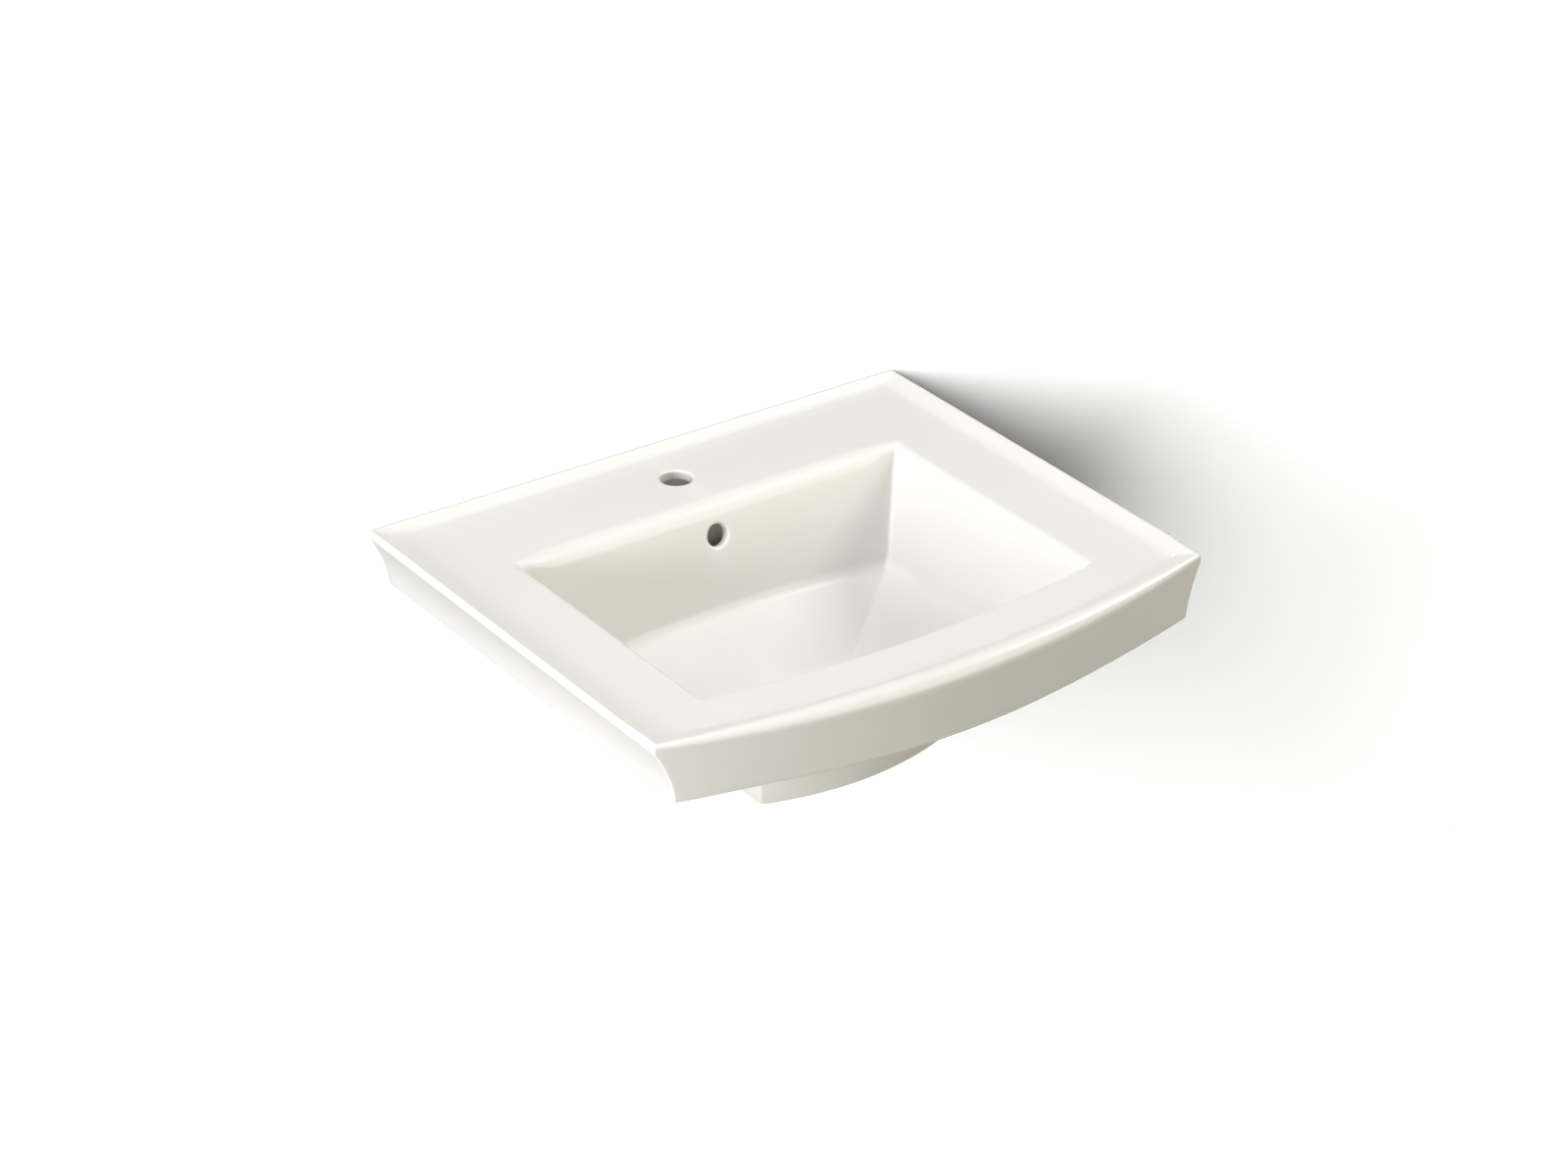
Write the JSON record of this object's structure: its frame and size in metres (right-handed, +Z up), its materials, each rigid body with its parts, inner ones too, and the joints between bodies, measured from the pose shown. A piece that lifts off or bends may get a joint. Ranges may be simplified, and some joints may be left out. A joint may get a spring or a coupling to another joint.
{
  "type": "pedestal sink basin",
  "caption": "Wide bow-fronted basin of a pedestal sink, with a sloping rectangular bowl, push-to-open waste and wall hanger bolts.",
  "frame": {"origin": "on the wall plane, halfway between the two hanger bolts", "axes": "+X to the right as seen by the person using the sink, +Y into the wall, so the basin stands out towards -Y, +Z up"},
  "size_m": [0.61, 0.586, 0.238],
  "materials": {
    "glazed_china": "gloss off-white glaze",
    "chrome_plate": "polished chrome plate on brass",
    "raw_brass": "machined, unplated",
    "black_rubber": "moulded, matt",
    "white_nylon": "moulded, satin",
    "zinc_steel": "bright zinc plate"
  },
  "bodies": {
    "hung_basin": {"basin": "glazed_china", "waste_body": "chrome_plate", "flange_gasket": "black_rubber", "cone_gasket": "black_rubber", "friction_washer": "white_nylon", "back_nut": "raw_brass", "cartridge_housing": "white_nylon", "cartridge_lid": "white_nylon", "return_spring": "zinc_steel", "left_hanger_bolt": "zinc_steel", "left_china_washer": "black_rubber", "left_steel_washer": "zinc_steel", "left_hanger_nut": "zinc_steel", "right_hanger_bolt": "zinc_steel", "right_china_washer": "black_rubber", "right_steel_washer": "zinc_steel", "right_hanger_nut": "zinc_steel"},
    "stopper": {"stopper_cap": "chrome_plate", "cap_seal": "black_rubber", "plunger": "white_nylon", "index_rotor": "white_nylon"}
  },
  "joints": [
    {"name": "stopper_slide", "type": "slide", "parent": "hung_basin", "child": "stopper", "axis": [0, 0, 1], "range_m": [0, 0.009], "deforming": ["return_spring"]}
  ]
}
